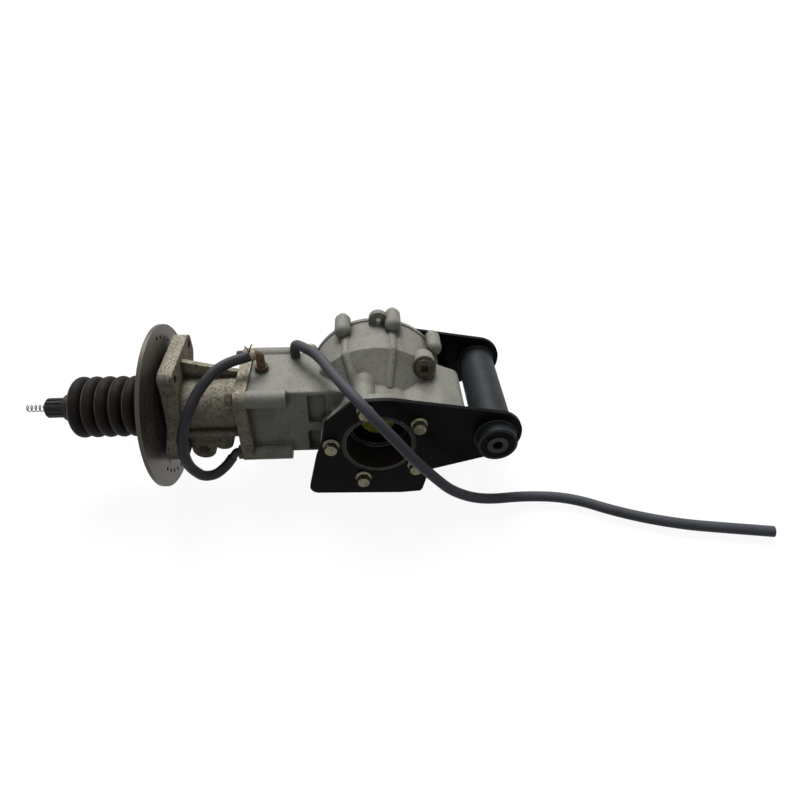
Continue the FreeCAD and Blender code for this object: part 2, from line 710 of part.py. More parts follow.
doc.recompute()
feature("ring_gear", ring_blank.Shape.fuse(ring_teeth))

# Input shaft with the pinion cut on it

pinion_teeth = []
for tooth in range(d.pinion_teeth):
    a = 2 * math.pi * tooth / d.pinion_teeth
    spoke = Vector(0, math.cos(a), math.sin(a))
    pinion_teeth.append(bevel_tooth(pinion_profile(), pinion_pitch_radius, d.ring_pitch_radius, LEFT, spoke))
pinion_root = module * (1.25 - profile_shift) / cone_distance
root_along = d.ring_pitch_radius + pinion_pitch_radius * pinion_root
pinion_root_radius = pinion_pitch_radius - d.ring_pitch_radius * pinion_root
spline_end = d.spline_left - d.spline_length
spring_seat = d.spring_left - d.spring_length - d.spring_wire
shaft = body("shaft_blank")
turned(shaft, "X", [
    (-d.spline_left, d.spring_bore), (-d.spline_left, d.shaft_spline_radius - 1),
    (-d.spline_left + 1, d.shaft_spline_radius), (-spline_end, d.shaft_spline_radius),
    (-spline_end + 1, 9.2), (-spline_end + 2, 9.2), (-spline_end + 3, 11), (-d.disc_hub_left, 11),
    (-d.disc_hub_left, d.hub_seat), (-d.bracket_left - 2, d.hub_seat), (-d.bracket_left - 2, d.shaft_journal),
    (-inner_bearing_face, d.shaft_journal), (-inner_bearing_face, 17), (-root_along - 3, 17),
    (-root_along, pinion_root_radius), (-root_along * d.tooth_inner_share, pinion_root_radius * d.tooth_inner_share),
    (-root_along * d.tooth_inner_share, 0), (-spring_seat, 0), (-spring_seat, d.spring_bore),
])
groove = pocket(shaft, "YZ_Plane", closed([(9.3, -0.9), (11.5, -1.7), (11.5, 1.7), (9.3, 0.9)]),
                "-spline_left", "spline_length", backwards=True)
spline = shaft.newObject("PartDesign::PolarPattern", "SplineGrooves")
spline.Originals = [groove]
spline.Axis = (groove.Profile[0], ["N_Axis"])
spline.Angle = 360
bind(spline, Occurrences="spline_count")
shaft.Tip = spline
doc.recompute()
feature("input_shaft", shaft.Shape.fuse(pinion_teeth))

# Rolling bearings: two races and a cage of rollers


def bearing(label, axis, start, width, bore, outer):
    """Races bound to the sheet; start is where the bearing begins along the axis."""
    race = f"0.23 * ({outer} - {bore})"
    ring(f"{label}_bearing_outer_race", axis, start, width, outer, f"{outer} - {race}")
    ring(f"{label}_bearing_inner_race", axis, start, width, f"{bore} + {race}", bore)
    doc.recompute()
    made = doc.getObject(f"{label}_bearing_outer_race")
    begin = min(v.Point.dot(FAR if axis == "Y" else RIGHT) for v in made.Shape.Vertexes)
    return begin


def rollers(label, axis, begin, width, bore, outer):
    gap = 0.54 * (outer - bore)
    middle = (outer + bore) / 2
    roller_radius = gap / 2 - d.roller_gap
    roller_length = width - 4
    direction = RIGHT if axis == "X" else FAR
    across = FAR if axis == "X" else UP
    upward = direction.cross(across)
    cage = cylinder(middle + gap * 0.18, width - 1, direction * (begin + 0.5), direction)
    cage = cage.cut(cylinder(middle - gap * 0.18, width - 1, direction * (begin + 0.5), direction))
    solids = []
    for u, v in around(middle, d.roller_count, 0):
        at = across * u + upward * v + direction * (begin + 2)
        solids.append(cylinder(roller_radius, roller_length, at, direction))
        at = across * u + upward * v + direction * (begin + 1.7)
        cage = cage.cut(cylinder(roller_radius + d.seat_gap, roller_length + 0.6, at, direction))
    feature(f"{label}_bearing_rollers", Part.makeCompound([cage] + solids))


for label, axis, start, width, bore, outer in (
    ("near_axle", "Y", "-near_bearing_face - axle_bearing_width", "axle_bearing_width",
     "axle_journal", "axle_bearing_outer"),
    ("far_axle", "Y", "far_bearing_face", "axle_bearing_width", "axle_journal", "axle_bearing_outer"),
    ("inner_pinion", "X", f"-{inner_bearing_text} - inner_bearing_width", "inner_bearing_width",
     "shaft_journal", "inner_bearing_outer"),
    ("outer_pinion", "X", "-outer_bearing_face - outer_bearing_width", "outer_bearing_width",
     "shaft_journal", "outer_bearing_outer"),
):
    begin = bearing(label, axis, start, width, bore, outer)
    rollers(label, axis, begin, SIZES[width], SIZES[bore], SIZES[outer])

# Shaft seals: a stiff outer wall and a thin lip that faces inwards


def seal(label, axis, outer_face, inner_face, outer, shaft_radius):
    towards = 1 if inner_face > outer_face else -1
    web = inner_face - towards * 2.5
    points = [
        (outer, outer_face), (outer, inner_face), (shaft_radius + d.running_gap, inner_face),
        (shaft_radius + d.running_gap, web), (outer - 2.5, web), (outer - 2.5, outer_face),
    ]
    if axis == "X":
        points = [(along, radius) for radius, along in points]
    turned(body(label), axis, points)


near_seal_inner = -seal_inner_face
seal("near_axle_seal", "Y", near_seal_inner - d.axle_seal_width, near_seal_inner, d.axle_seal_outer, d.axle_journal)
seal("far_axle_seal", "Y", far_bearing_end + 2 + d.axle_seal_width, far_bearing_end + 2, d.axle_seal_outer,
     d.axle_journal)
seal("pinion_seal", "X", -d.bracket_left + 0.5, -pinion_seal_end, d.pinion_seal_outer, d.shaft_journal)
ring("bearing_spacer", "X", "-outer_bearing_face",
     f"outer_bearing_face - {inner_bearing_text} - inner_bearing_width", "shaft_journal + 2.5", "shaft_journal")
ring("bearing_retainer", "X", f"-{inner_bearing_text} - inner_bearing_width - 3", "3",
     "inner_bearing_outer", "inner_bearing_outer - 4")

# Brake disc, its hub and their fasteners

disc_left = d.disc_right + d.disc_thickness
disc = body("brake_disc")
pad(disc, "YZ_Plane", [circle(0, 0, d.disc_radius)], "-disc_right - disc_thickness", "disc_thickness")
disc_bolts = around(d.disc_bolt_circle, d.disc_bolt_count, 30)
disc_holes = [circle(0, 0, d.disc_bore)]
disc_holes += [circle(y, z, 3) for y, z in disc_bolts]
for group in range(4):
    for hole in range(5):
        y, z = around(67.5 + 2 * hole, 1, 42 + 90 * group + 9 * hole)[0]
        disc_holes.append(circle(y, z, 2.2))
pocket(disc, "YZ_Plane", disc_holes, "-disc_right - disc_thickness", "disc_thickness", backwards=True)
disc_hub = body("disc_hub")
turned(disc_hub, "X", [
    (-d.disc_hub_left, d.hub_seat), (-d.disc_hub_left, d.disc_hub_radius), (-disc_left - 5, d.disc_hub_radius),
    (-disc_left - 5, 38), (-disc_left, 38), (-disc_left, d.disc_bore), (-d.disc_right - 0.5, d.disc_bore),
    (-d.disc_right - 0.5, 17), (-d.bracket_left - 2, 17), (-d.bracket_left - 2, d.hub_seat),
])
pocket(disc_hub, "YZ_Plane", [circle(y, z, 3) for y, z in disc_bolts], "-disc_right - disc_thickness - 5", "5",
       backwards=True)
disc_bolt = flange_bolt(9, radius=3, flats=8, flange=6, height=5)
feature("disc_bolts", Part.makeCompound(
    [placed(disc_bolt, Vector(-disc_left - 5, y, z), LEFT) for y, z in disc_bolts]))
nut = hexagon(27, 8).cut(cylinder(11, 8, Vector(0, 0, 0)))
feature("hub_nut", placed(nut, Vector(-d.disc_hub_left, 0, 0), LEFT))

# Boot: bellows from the shaft's neck to the disc hub


def bellows(inset):
    """An arc over each bulge, from the hub end to the shaft end, with flats between inset arcs."""
    edges = []
    for bulge in range(d.boot_bulges):
        start = -d.boot_right - bulge * d.boot_pitch
        end = start - d.boot_pitch
        low = d.boot_valley - inset
        first = Vector(start - 0.8 * inset, low, 0)
        last = Vector(end + 0.8 * inset, low, 0)
        top = Vector(start - d.boot_pitch / 2, d.boot_peak - inset, 0)
        edges.append(Part.Arc(first, top, last))
        if inset:
            edges.append(Part.LineSegment(Vector(start, low, 0), first))
            edges.append(Part.LineSegment(last, Vector(end, low, 0)))
    return edges


def chain(points):
    return [Part.LineSegment(a, b) for a, b in zip(points, points[1:])]


boot_left = -d.boot_right - d.boot_bulges * d.boot_pitch
cuff = 11 + d.boot_wall
outer_valley = Vector(boot_left, d.boot_valley, 0)
inner_valley = Vector(boot_left, d.boot_valley - d.boot_wall, 0)
boot_edges = bellows(0) + bellows(d.boot_wall)
boot_edges += chain([
    outer_valley, Vector(boot_left - 6, cuff, 0), Vector(boot_left - 12, cuff, 0), Vector(boot_left - 12, 11, 0),
    Vector(boot_left - 5.5, 11, 0), inner_valley,
])
boot_edges += chain([
    Vector(-d.boot_right, d.boot_valley, 0), Vector(-d.boot_right + 10, d.boot_valley, 0),
    Vector(-d.boot_right + 10, d.disc_hub_radius, 0), Vector(-d.disc_hub_left, d.disc_hub_radius, 0),
    Vector(-d.boot_right, d.boot_valley - d.boot_wall, 0),
])
boot = body("boot")
boot_profile = sketch(boot, "XY_Plane", boot_edges)
boot_turned = boot.newObject("PartDesign::Revolution", "BootTurned")
boot_turned.Profile = boot_profile
boot_turned.ReferenceAxis = (boot_profile, ["H_Axis"])
boot_turned.Angle = 360
ring("boot_band_large", "X", "-boot_right + 2", "6", "boot_valley + 1", "boot_valley + running_gap")
boot_neck = "-boot_right - boot_bulges * boot_pitch"
ring("boot_band_small", "X", f"{boot_neck} - 11", "4", "12 + boot_wall", "11 + boot_wall + running_gap")

# Spring that pushes the mating shaft

helix = Part.makeHelix(d.spring_pitch, d.spring_length, d.spring_radius)
wire_profile = Part.Wire(Part.Circle(Vector(d.spring_radius, 0, 0), FAR, d.spring_wire / 2).toShape())
spring = Part.Wire(helix).makePipeShell([wire_profile], True, True)
feature("coupling_spring", placed(spring, Vector(-d.spring_left, 0, 0), RIGHT))

# Fittings and hoses

elbow_top = Vector(-d.elbow_across, d.elbow_depth, d.elbow_height)
elbow_way = Vector(-0.885, -0.466, 0).normalize()
elbow_end = elbow_top + elbow_way * 11
casing_top = Vector(-d.elbow_across, d.elbow_depth, d.snout_half_height)
elbow_pipe, _, _ = tube_along([casing_top, elbow_top, elbow_end], d.pipe_radius, d.pipe_bore)
elbow_collar = cylinder(7, 5, casing_top)
feature("elbow_fitting", elbow_collar.fuse(elbow_pipe))

corner = Vector(-flange_left, -d.joint_bolt_side, -d.joint_bolt_height)
lower_way = Vector(-0.6, -0.25, -0.76).normalize()
lower_turn = corner + LEFT * 8
lower_end = lower_turn + lower_way * 8
lower_pipe, _, _ = tube_along([corner + LEFT * 3, lower_turn, lower_end], d.pipe_radius)
lower_base = placed(hexagon(14, 5), corner, LEFT)
lower_stud = cylinder(d.bolt_radius, d.housing_flange, corner, RIGHT)
feature("lower_fitting", lower_base.fuse([lower_pipe, lower_stud]))

short_route = [
    elbow_end, elbow_end + elbow_way * 21.6, Vector(-160, -21.7, 59), Vector(-173.5, -38, 49.5),
    Vector(-184, -53.5, 33.5), Vector(-192, -63, 12.5), Vector(-193.5, -67, -10), Vector(-192, -65, -29.5),
    Vector(-183, -60.5, -47.5), Vector(-172.5, -52.5, -54), lower_end + lower_way * 12.5, lower_end,
]
short_hose, short_length, short_radii = tube_along(short_route, d.hose_radius)
feature("short_hose", short_hose)

long_route = [
    Vector(-82, 24, 56), Vector(-59.5, -1, 61.5), Vector(-42.5, -37.5, 63), Vector(-31.5, -59, 64.5),
    Vector(-21.5, -76, 64), Vector(-11, -88, 59), Vector(0, -95, 48.5), Vector(14, -99.5, 33),
    Vector(32, -102, 9), Vector(52, -102.5, -14.5), Vector(72.5, -104, -36), Vector(104, -103, -50.5),
    Vector(150, -99, -50.8), Vector(194, -106, -48), Vector(236, -131, -44.5), Vector(285, -150, -40.7),
    Vector(330, -160, -37.2), Vector(368, -168, -34.3),
]
breather_way = (long_route[1] - long_route[0]).normalize()
breather_turn = Vector(long_route[0]) - breather_way * 6
breather_foot = Vector(breather_turn.x, breather_turn.y, d.snout_half_height)
breather_pipe, _, _ = tube_along([breather_foot, breather_turn, long_route[0]], d.pipe_radius)
feature("breather_fitting", breather_pipe.fuse(cylinder(d.pipe_radius + 0.5, 5, breather_foot)))
long_hose, long_length, long_radii = tube_along(long_route, d.hose_radius)
feature("long_hose", long_hose)
section = math.pi * d.hose_radius ** 2
for name, hose, length, radii in (
    ("short hose", short_hose, short_length, short_radii), ("long hose", long_hose, long_length, long_radii),
):
    print(name, "length", round(length, 1), "volume ratio", round(hose.Volume / (section * length), 4),
          "radii", [round(r, 1) for r in radii])

clamp_at = elbow_end + elbow_way * 5
clamp = Part.makeTorus(d.hose_radius + 0.9, 0.8, clamp_at, elbow_way)
ears = []
for lean in (-0.35, 0.35):
    way = (UP + elbow_way * lean).normalize()
    ears.append(cylinder(0.8, 7, clamp_at + UP * (d.hose_radius + 0.9), way))
feature("elbow_clamp", clamp.fuse(ears))

# Plugs

plug = cylinder(d.filler_radius, 5, Vector(0, 0, 0)).fuse(cylinder(filler_stem, 8, Vector(0, 0, -8)))
socket = Part.makeBox(7, 7, 4, Vector(-3.5, -3.5, 1))
feature("filler_plug", placed(plug.cut(socket), filler_seat, filler_facing))
drain_bolt = flange_bolt(8, radius=drain_radius, flats=14, flange=9, height=7)
feature("drain_plug", placed(drain_bolt, Vector(0, drain_depth, -bowl_radius - 2), DOWN))

# Check every object, then write one file for each sub-part

doc.recompute()
failed = [o.Label for o in doc.Objects if "Invalid" in o.State or "Error" in o.State]
if failed:
    raise RuntimeError(f"these objects failed: {failed}")
hidden = {"ring_gear_blank", "shaft_blank"}
os.makedirs("parts", exist_ok=True)
kinds = ("PartDesign::Body", "Part::Cut", "Part::Feature")
nodes = [o for o in doc.Objects if o.TypeId in kinds and o.Label not in hidden]
for node in nodes:
    if node.Shape.isNull() or not node.Shape.isValid():
        raise RuntimeError(f"{node.Label} has no valid shape")
for node in nodes:
    node.Shape.exportStep(f"parts/{node.Label}.step")
print(len(nodes), "nodes")
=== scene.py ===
import math
import bmesh
import bpy
from bpy.props import FloatProperty, FloatVectorProperty, PointerProperty
from bpy.types import Operator, Panel, PropertyGroup
from mathutils import Matrix, Vector


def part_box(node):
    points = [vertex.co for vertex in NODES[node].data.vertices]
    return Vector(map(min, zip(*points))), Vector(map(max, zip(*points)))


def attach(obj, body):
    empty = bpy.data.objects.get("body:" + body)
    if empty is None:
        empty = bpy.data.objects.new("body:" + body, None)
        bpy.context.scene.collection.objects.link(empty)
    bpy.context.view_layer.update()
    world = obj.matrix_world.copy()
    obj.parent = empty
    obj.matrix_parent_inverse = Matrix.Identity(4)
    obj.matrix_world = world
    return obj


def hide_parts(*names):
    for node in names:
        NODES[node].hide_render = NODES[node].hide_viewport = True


bl_info = {
    "name": "Rear axle drive",
    "version": (1, 0, 0),
    "blender": (4, 5, 0),
    "location": "View3D > Sidebar > Axle",
    "description": "Dresses a bevel gear axle drive with castings, brake disc, boot, plates and hoses",
    "category": "Object",
}

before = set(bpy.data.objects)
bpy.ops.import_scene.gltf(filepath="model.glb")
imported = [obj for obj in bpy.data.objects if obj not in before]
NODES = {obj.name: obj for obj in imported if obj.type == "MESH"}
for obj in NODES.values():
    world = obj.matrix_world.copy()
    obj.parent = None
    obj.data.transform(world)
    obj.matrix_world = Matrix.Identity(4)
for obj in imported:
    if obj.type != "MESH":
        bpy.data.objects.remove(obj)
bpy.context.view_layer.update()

# A Mix node's number and colour sockets share their names, so the colour ones go by their places
COLOUR_UNDER, COLOUR_OVER, MIXED_COLOUR = 6, 7, 2


def linear(hex_colour):
    """An sRGB hex colour as the linear colour that shaders take."""
    parts = [int(hex_colour[i:i + 2], 16) / 255 for i in (1, 3, 5)]
    return tuple(p / 12.92 if p <= 0.04045 else ((p + 0.055) / 1.055) ** 2.4 for p in parts) + (1.0,)


# Settings that a user would change

class AxleSizes(PropertyGroup):
    hose_diameter: FloatProperty(
        name="Hose diameter", description="Outer diameter of the long hose", default=0.0106, unit="LENGTH")
    weld_radius: FloatProperty(
        name="Weld radius", description="Radius of the weld beads round the pivot tube", default=0.0016,
        unit="LENGTH")
    band_width: FloatProperty(
        name="Band width", description="Width of the band on the elbow at the short hose's end",
        default=0.0058, unit="LENGTH")


class AxleColours(PropertyGroup):
    aluminium: FloatVectorProperty(
        name="Cast aluminium", description="Clean face of the main casting", subtype="COLOR", size=4,
        default=linear("#8c8b82"))
    grime: FloatVectorProperty(
        name="Grime", description="Road dirt baked on the bearing housing", subtype="COLOR", size=4,
        default=linear("#857e6d"))
    plate_paint: FloatVectorProperty(
        name="Plate paint", description="Black paint of the plates", subtype="COLOR", size=4,
        default=linear("#050505"))
    hose_rubber: FloatVectorProperty(
        name="Hose rubber", description="Long hose", subtype="COLOR", size=4, default=linear("#474a50"))


# Patterns on Object coordinates, and masks that follow a surface's own shape

def add_node(tree, kind, settings=None, output=0):
    """Adds a shader node and gives back one of its outputs, or the node itself where output is None.
    Each setting goes to the attribute or socket of its name or number: a socket is linked, and a hex
    colour is turned linear."""
    node = tree.nodes.new(kind)
    for key, value in (settings or {}).items():
        if isinstance(key, str) and hasattr(node, key):
            setattr(node, key, value)
        elif isinstance(value, bpy.types.NodeSocket):
            tree.links.new(value, node.inputs[key])
        else:
            node.inputs[key].default_value = linear(value) if isinstance(value, str) else value
    return node if output is None else node.outputs[output]


def patches(tree, size_mm, low, high, detail=4):
    """Cloudy patches about size_mm across: 0 where the noise is at low, 1 where it is at high."""
    place = add_node(tree, "ShaderNodeTexCoord", output="Object")
    cloud = add_node(tree, "ShaderNodeTexNoise",
                     {"Vector": place, "Scale": 1000 / size_mm, "Detail": detail, "Roughness": 0.6})
    return add_node(tree, "ShaderNodeMapRange", {"Value": cloud, "From Min": low, "From Max": high})


def hollow_shade_mask(tree, reach_mm):
    """1 in a corner, groove or hollow and 0 on an open face: the place for painted shade."""
    opening = add_node(tree, "ShaderNodeAmbientOcclusion", {"samples": 6, "Distance": reach_mm / 1000},
                       output="AO")
    return add_node(tree, "ShaderNodeMapRange", {"Value": opening, "From Min": 0.9, "From Max": 0.45})


def soft_edges(tree, radius_mm):
    """The normal as if each edge were rounded to this radius, and a mask of those edges."""
    rounded = add_node(tree, "ShaderNodeBevel", {"samples": 4, "Radius": radius_mm / 1000})
    flat = add_node(tree, "ShaderNodeNewGeometry", output="Normal")
    along = add_node(tree, "ShaderNodeVectorMath", {"operation": "DOT_PRODUCT", 0: rounded, 1: flat},
                     output="Value")
    edges = add_node(tree, "ShaderNodeMapRange", {"Value": along, "From Min": 0.97, "From Max": 0.8})
    return rounded, edges


def upward_faces(tree):
    """1 on faces that look up, where sand and dust settle, and 0 on walls and undersides."""
    normal = add_node(tree, "ShaderNodeNewGeometry", output="Normal")
    height = add_node(tree, "ShaderNodeSeparateXYZ", {"Vector": normal}, output="Z")
    return add_node(tree, "ShaderNodeMapRange", {"Value": height, "From Min": 0.05, "From Max": 0.55})


def round_the_axle(tree, axis):
    """Distance from the object's X or Y axis, and the place along that axis, in metres."""
    place = add_node(tree, "ShaderNodeTexCoord", output="Object")
    split = add_node(tree, "ShaderNodeSeparateXYZ", {"Vector": place}, output=None)
    across = (0, 1, 1) if axis == "X" else (1, 0, 1)
    flattened = add_node(tree, "ShaderNodeVectorMath", {"operation": "MULTIPLY", 0: place, 1: across})
    radius = add_node(tree, "ShaderNodeVectorMath", {"operation": "LENGTH", 0: flattened}, output="Value")
    return radius, split.outputs[axis]


def mouth_painted_shade(tree):
    """1 in the near mouth of the main casting and on the rim round it, where painted shade lies."""
    # The painted shade ends just outside the rim, and starts just behind the step at the mouth's inner end
    shade_radius, radius_fade = 0.0391, 0.0003
    shade_start_y, start_fade = -0.036, 0.0005
    radius, along = round_the_axle(tree, "Y")
    inside = add_node(tree, "ShaderNodeMapRange", {"Value": radius, "From Min": shade_radius + radius_fade,
                                                   "From Max": shade_radius - radius_fade})
    near = add_node(tree, "ShaderNodeMapRange", {"Value": along, "From Min": shade_start_y + start_fade,
                                                 "From Max": shade_start_y - start_fade})
    return add_node(tree, "ShaderNodeMath", {"operation": "MULTIPLY", 0: inside, 1: near})


def valley_painted_highlight(tree):
    """Painted highlight lines beside the valleys of the boot, broken by patches."""
    # One line lies at line_x and the others at every pitch of the bellows from it
    line_x, bellows_pitch = -0.2452, 0.0135
    highlight_half_width, faded_half_width = 0.0004, 0.0012
    _, along = round_the_axle(tree, "X")
    shifted = add_node(tree, "ShaderNodeMath", {"operation": "ADD", 0: along, 1: -line_x})
    apart = add_node(tree, "ShaderNodeMath", {"operation": "PINGPONG", 0: shifted, 1: bellows_pitch / 2})
    line = add_node(tree, "ShaderNodeMapRange",
                    {"Value": apart, "From Min": faded_half_width, "From Max": highlight_half_width})
    broken = patches(tree, 9, 0.25, 0.5)
    return add_node(tree, "ShaderNodeMath", {"operation": "MULTIPLY", 0: line, 1: broken})


def seen_directly(tree):
    """1 for what is seen straight on, mirrored or through glass, and 0 for light that falls on things."""
    rays = add_node(tree, "ShaderNodeLightPath", output=None).outputs
    direct = add_node(tree, "ShaderNodeMath",
                      {"operation": "MAXIMUM", 0: rays["Is Camera Ray"], 1: rays["Is Glossy Ray"]})
    return add_node(tree, "ShaderNodeMath",
                    {"operation": "MAXIMUM", 0: direct, 1: rays["Is Transmission Ray"]})


def lay_colours(tree, colour, layers):
    """Lays the colour of each (place, colour) over those before it, where its place is 1."""
    for place, over in layers:
        colour = add_node(tree, "ShaderNodeMix",
                          {"data_type": "RGBA", "Factor": place, COLOUR_UNDER: colour, COLOUR_OVER: over},
                          output=MIXED_COLOUR)
    return colour


# Materials

FINISHES = {}


def new_material(name):
    """A material with only a Principled shader and its output."""
    material = bpy.data.materials.new(name)
    material.use_nodes = True
    tree = material.node_tree
    tree.nodes.clear()
    shader = add_node(tree, "ShaderNodeBsdfPrincipled", output=None)
    add_node(tree, "ShaderNodeOutputMaterial", {"Surface": shader.outputs["BSDF"]}, output=None)
    return material, tree, shader


def worn_surface(name, clean, dirty, patch_mm, grain_mm, metallic=0.0, roughness=0.5, specular=0.3,
                 dirt=0.5, bump_mm=0.05, specks=None, speck_share=0.3, pits=None, hollow_shade=None,
                 edge_wear_and_highlight=None, edge_mm=0.0, painted_light_colour=None, painted_light_place=None):
    """A real surface: a clean and a dirty colour in patches of patch_mm, and a grain of grain_mm in
    colour, gloss and height. Light specks lie on upward faces, pits are darker, corners and grooves get
    painted shade, edges are rounded and drawn light as wear and painted highlight, and
    painted_light_colour lies where painted_light_place says."""
    material, tree, shader = new_material(name)
    # More dirt lowers the noise level at which a patch starts, so the patches spread
    patch_start = 0.62 - 0.3 * dirt
    spread = patches(tree, patch_mm, patch_start, patch_start + 0.2, 6)
    grain = patches(tree, grain_mm, 0.25, 0.75, 3)
    both = add_node(tree, "ShaderNodeMath", {"operation": "MULTIPLY_ADD", 0: grain, 1: 0.4, 2: spread})
    share = add_node(tree, "ShaderNodeMapRange", {"Value": both, "From Min": 0.1, "From Max": 1.3})
    layers = [(share, dirty)]
    if specks:
        speck_start = 0.66 - 0.2 * speck_share
        spots = patches(tree, grain_mm * 1.1, speck_start, speck_start + 0.1, 5)
        settled = add_node(tree, "ShaderNodeMath",
                           {"operation": "MULTIPLY", 0: spots, 1: upward_faces(tree)})
        layers.append((settled, specks))
    if pits:
        layers.append((patches(tree, grain_mm * 1.4, 0.42, 0.34, 2), pits))
    # Painted shade in corners and grooves, where little of the surroundings is open
    if hollow_shade:
        layers.append((hollow_shade_mask(tree, 9), hollow_shade))
    # Painted light given by the caller, such as painted shade in a recess and painted highlights on folds
    if painted_light_place:
        layers.append((painted_light_place(tree), painted_light_colour))
    height = {"Height": grain, "Strength": 0.6, "Distance": bump_mm / 1000}
    if edge_mm:
        height["Normal"], edges = soft_edges(tree, edge_mm)
        # Edges are drawn lighter in broken patches, partly as rubbed wear and partly as a painted highlight
        if edge_wear_and_highlight:
            rubs = patches(tree, patch_mm, 0.35, 0.55)
            worn_and_lit_edges = add_node(tree, "ShaderNodeMath", {"operation": "MULTIPLY", 0: edges, 1: rubs})
            layers.append((worn_and_lit_edges, edge_wear_and_highlight))
    gloss = add_node(tree, "ShaderNodeMapRange",
                     {"Value": grain, "To Min": roughness - 0.08, "To Max": roughness + 0.1})
    tree.links.new(lay_colours(tree, clean, layers), shader.inputs["Base Color"])
    tree.links.new(gloss, shader.inputs["Roughness"])
    tree.links.new(add_node(tree, "ShaderNodeBump", height), shader.inputs["Normal"])
    shader.inputs["Metallic"].default_value = metallic
    shader.inputs["Specular IOR Level"].default_value = specular
    return material


def turned_disc(name):
    """Turned steel: rings from the tool and the pads on a grey band, a rust film, a dark greasy middle,
    painted shade in its hollows and a painted highlight along its edges.
    """
    material, tree, shader = new_material(name)
    # The rings are about 1 mm apart, coarser than real turning marks, so that they show
    rings_per_metre, ring_height = 900.0, 0.00008
    # The disc is clean outside the first radius and greasy inside the second, and where the rust film is
    # thick both lie further out by the last value
    clean_radius, greasy_radius, film_reach = 0.056, 0.044, 0.012
    radius, _ = round_the_axle(tree, "X")
    rings = add_node(tree, "ShaderNodeTexNoise",
                     {"noise_dimensions": "1D", "W": radius, "Scale": rings_per_metre, "Detail": 3.0})
    film = patches(tree, 24, 0.42, 0.66, 6)
    ragged_radius = add_node(tree, "ShaderNodeMath",
                             {"operation": "MULTIPLY_ADD", 0: film, 1: -film_reach, 2: radius})
    middle = add_node(tree, "ShaderNodeMapRange",
                      {"Value": ragged_radius, "From Min": clean_radius, "From Max": greasy_radius})
    rounded, edges = soft_edges(tree, 0.5)
    grooves = add_node(tree, "ShaderNodeMapRange", {"Value": rings, "From Min": 0.35, "From Max": 0.65})
    # The last two layers are painted shade in hollows and a painted highlight along the edges
    layers = [(grooves, "#44413b"), (film, "#49433b"), (middle, "#1e1710"), (hollow_shade_mask(tree, 5), "#15100c"),
              (edges, "#68655f")]
    tree.links.new(lay_colours(tree, "#5b5852", layers), shader.inputs["Base Color"])
    for socket, band, grease in (("Roughness", 0.42, 0.75), ("Metallic", 0.7, 0.05)):
        spread = add_node(tree, "ShaderNodeMapRange", {"Value": middle, "To Min": band, "To Max": grease})
        tree.links.new(spread, shader.inputs[socket])
    lines = add_node(tree, "ShaderNodeBump",
                     {"Height": rings, "Normal": rounded, "Strength": 0.5, "Distance": ring_height})
    tree.links.new(lines, shader.inputs["Normal"])
    shader.inputs["Specular IOR Level"].default_value = 0.25
    return material


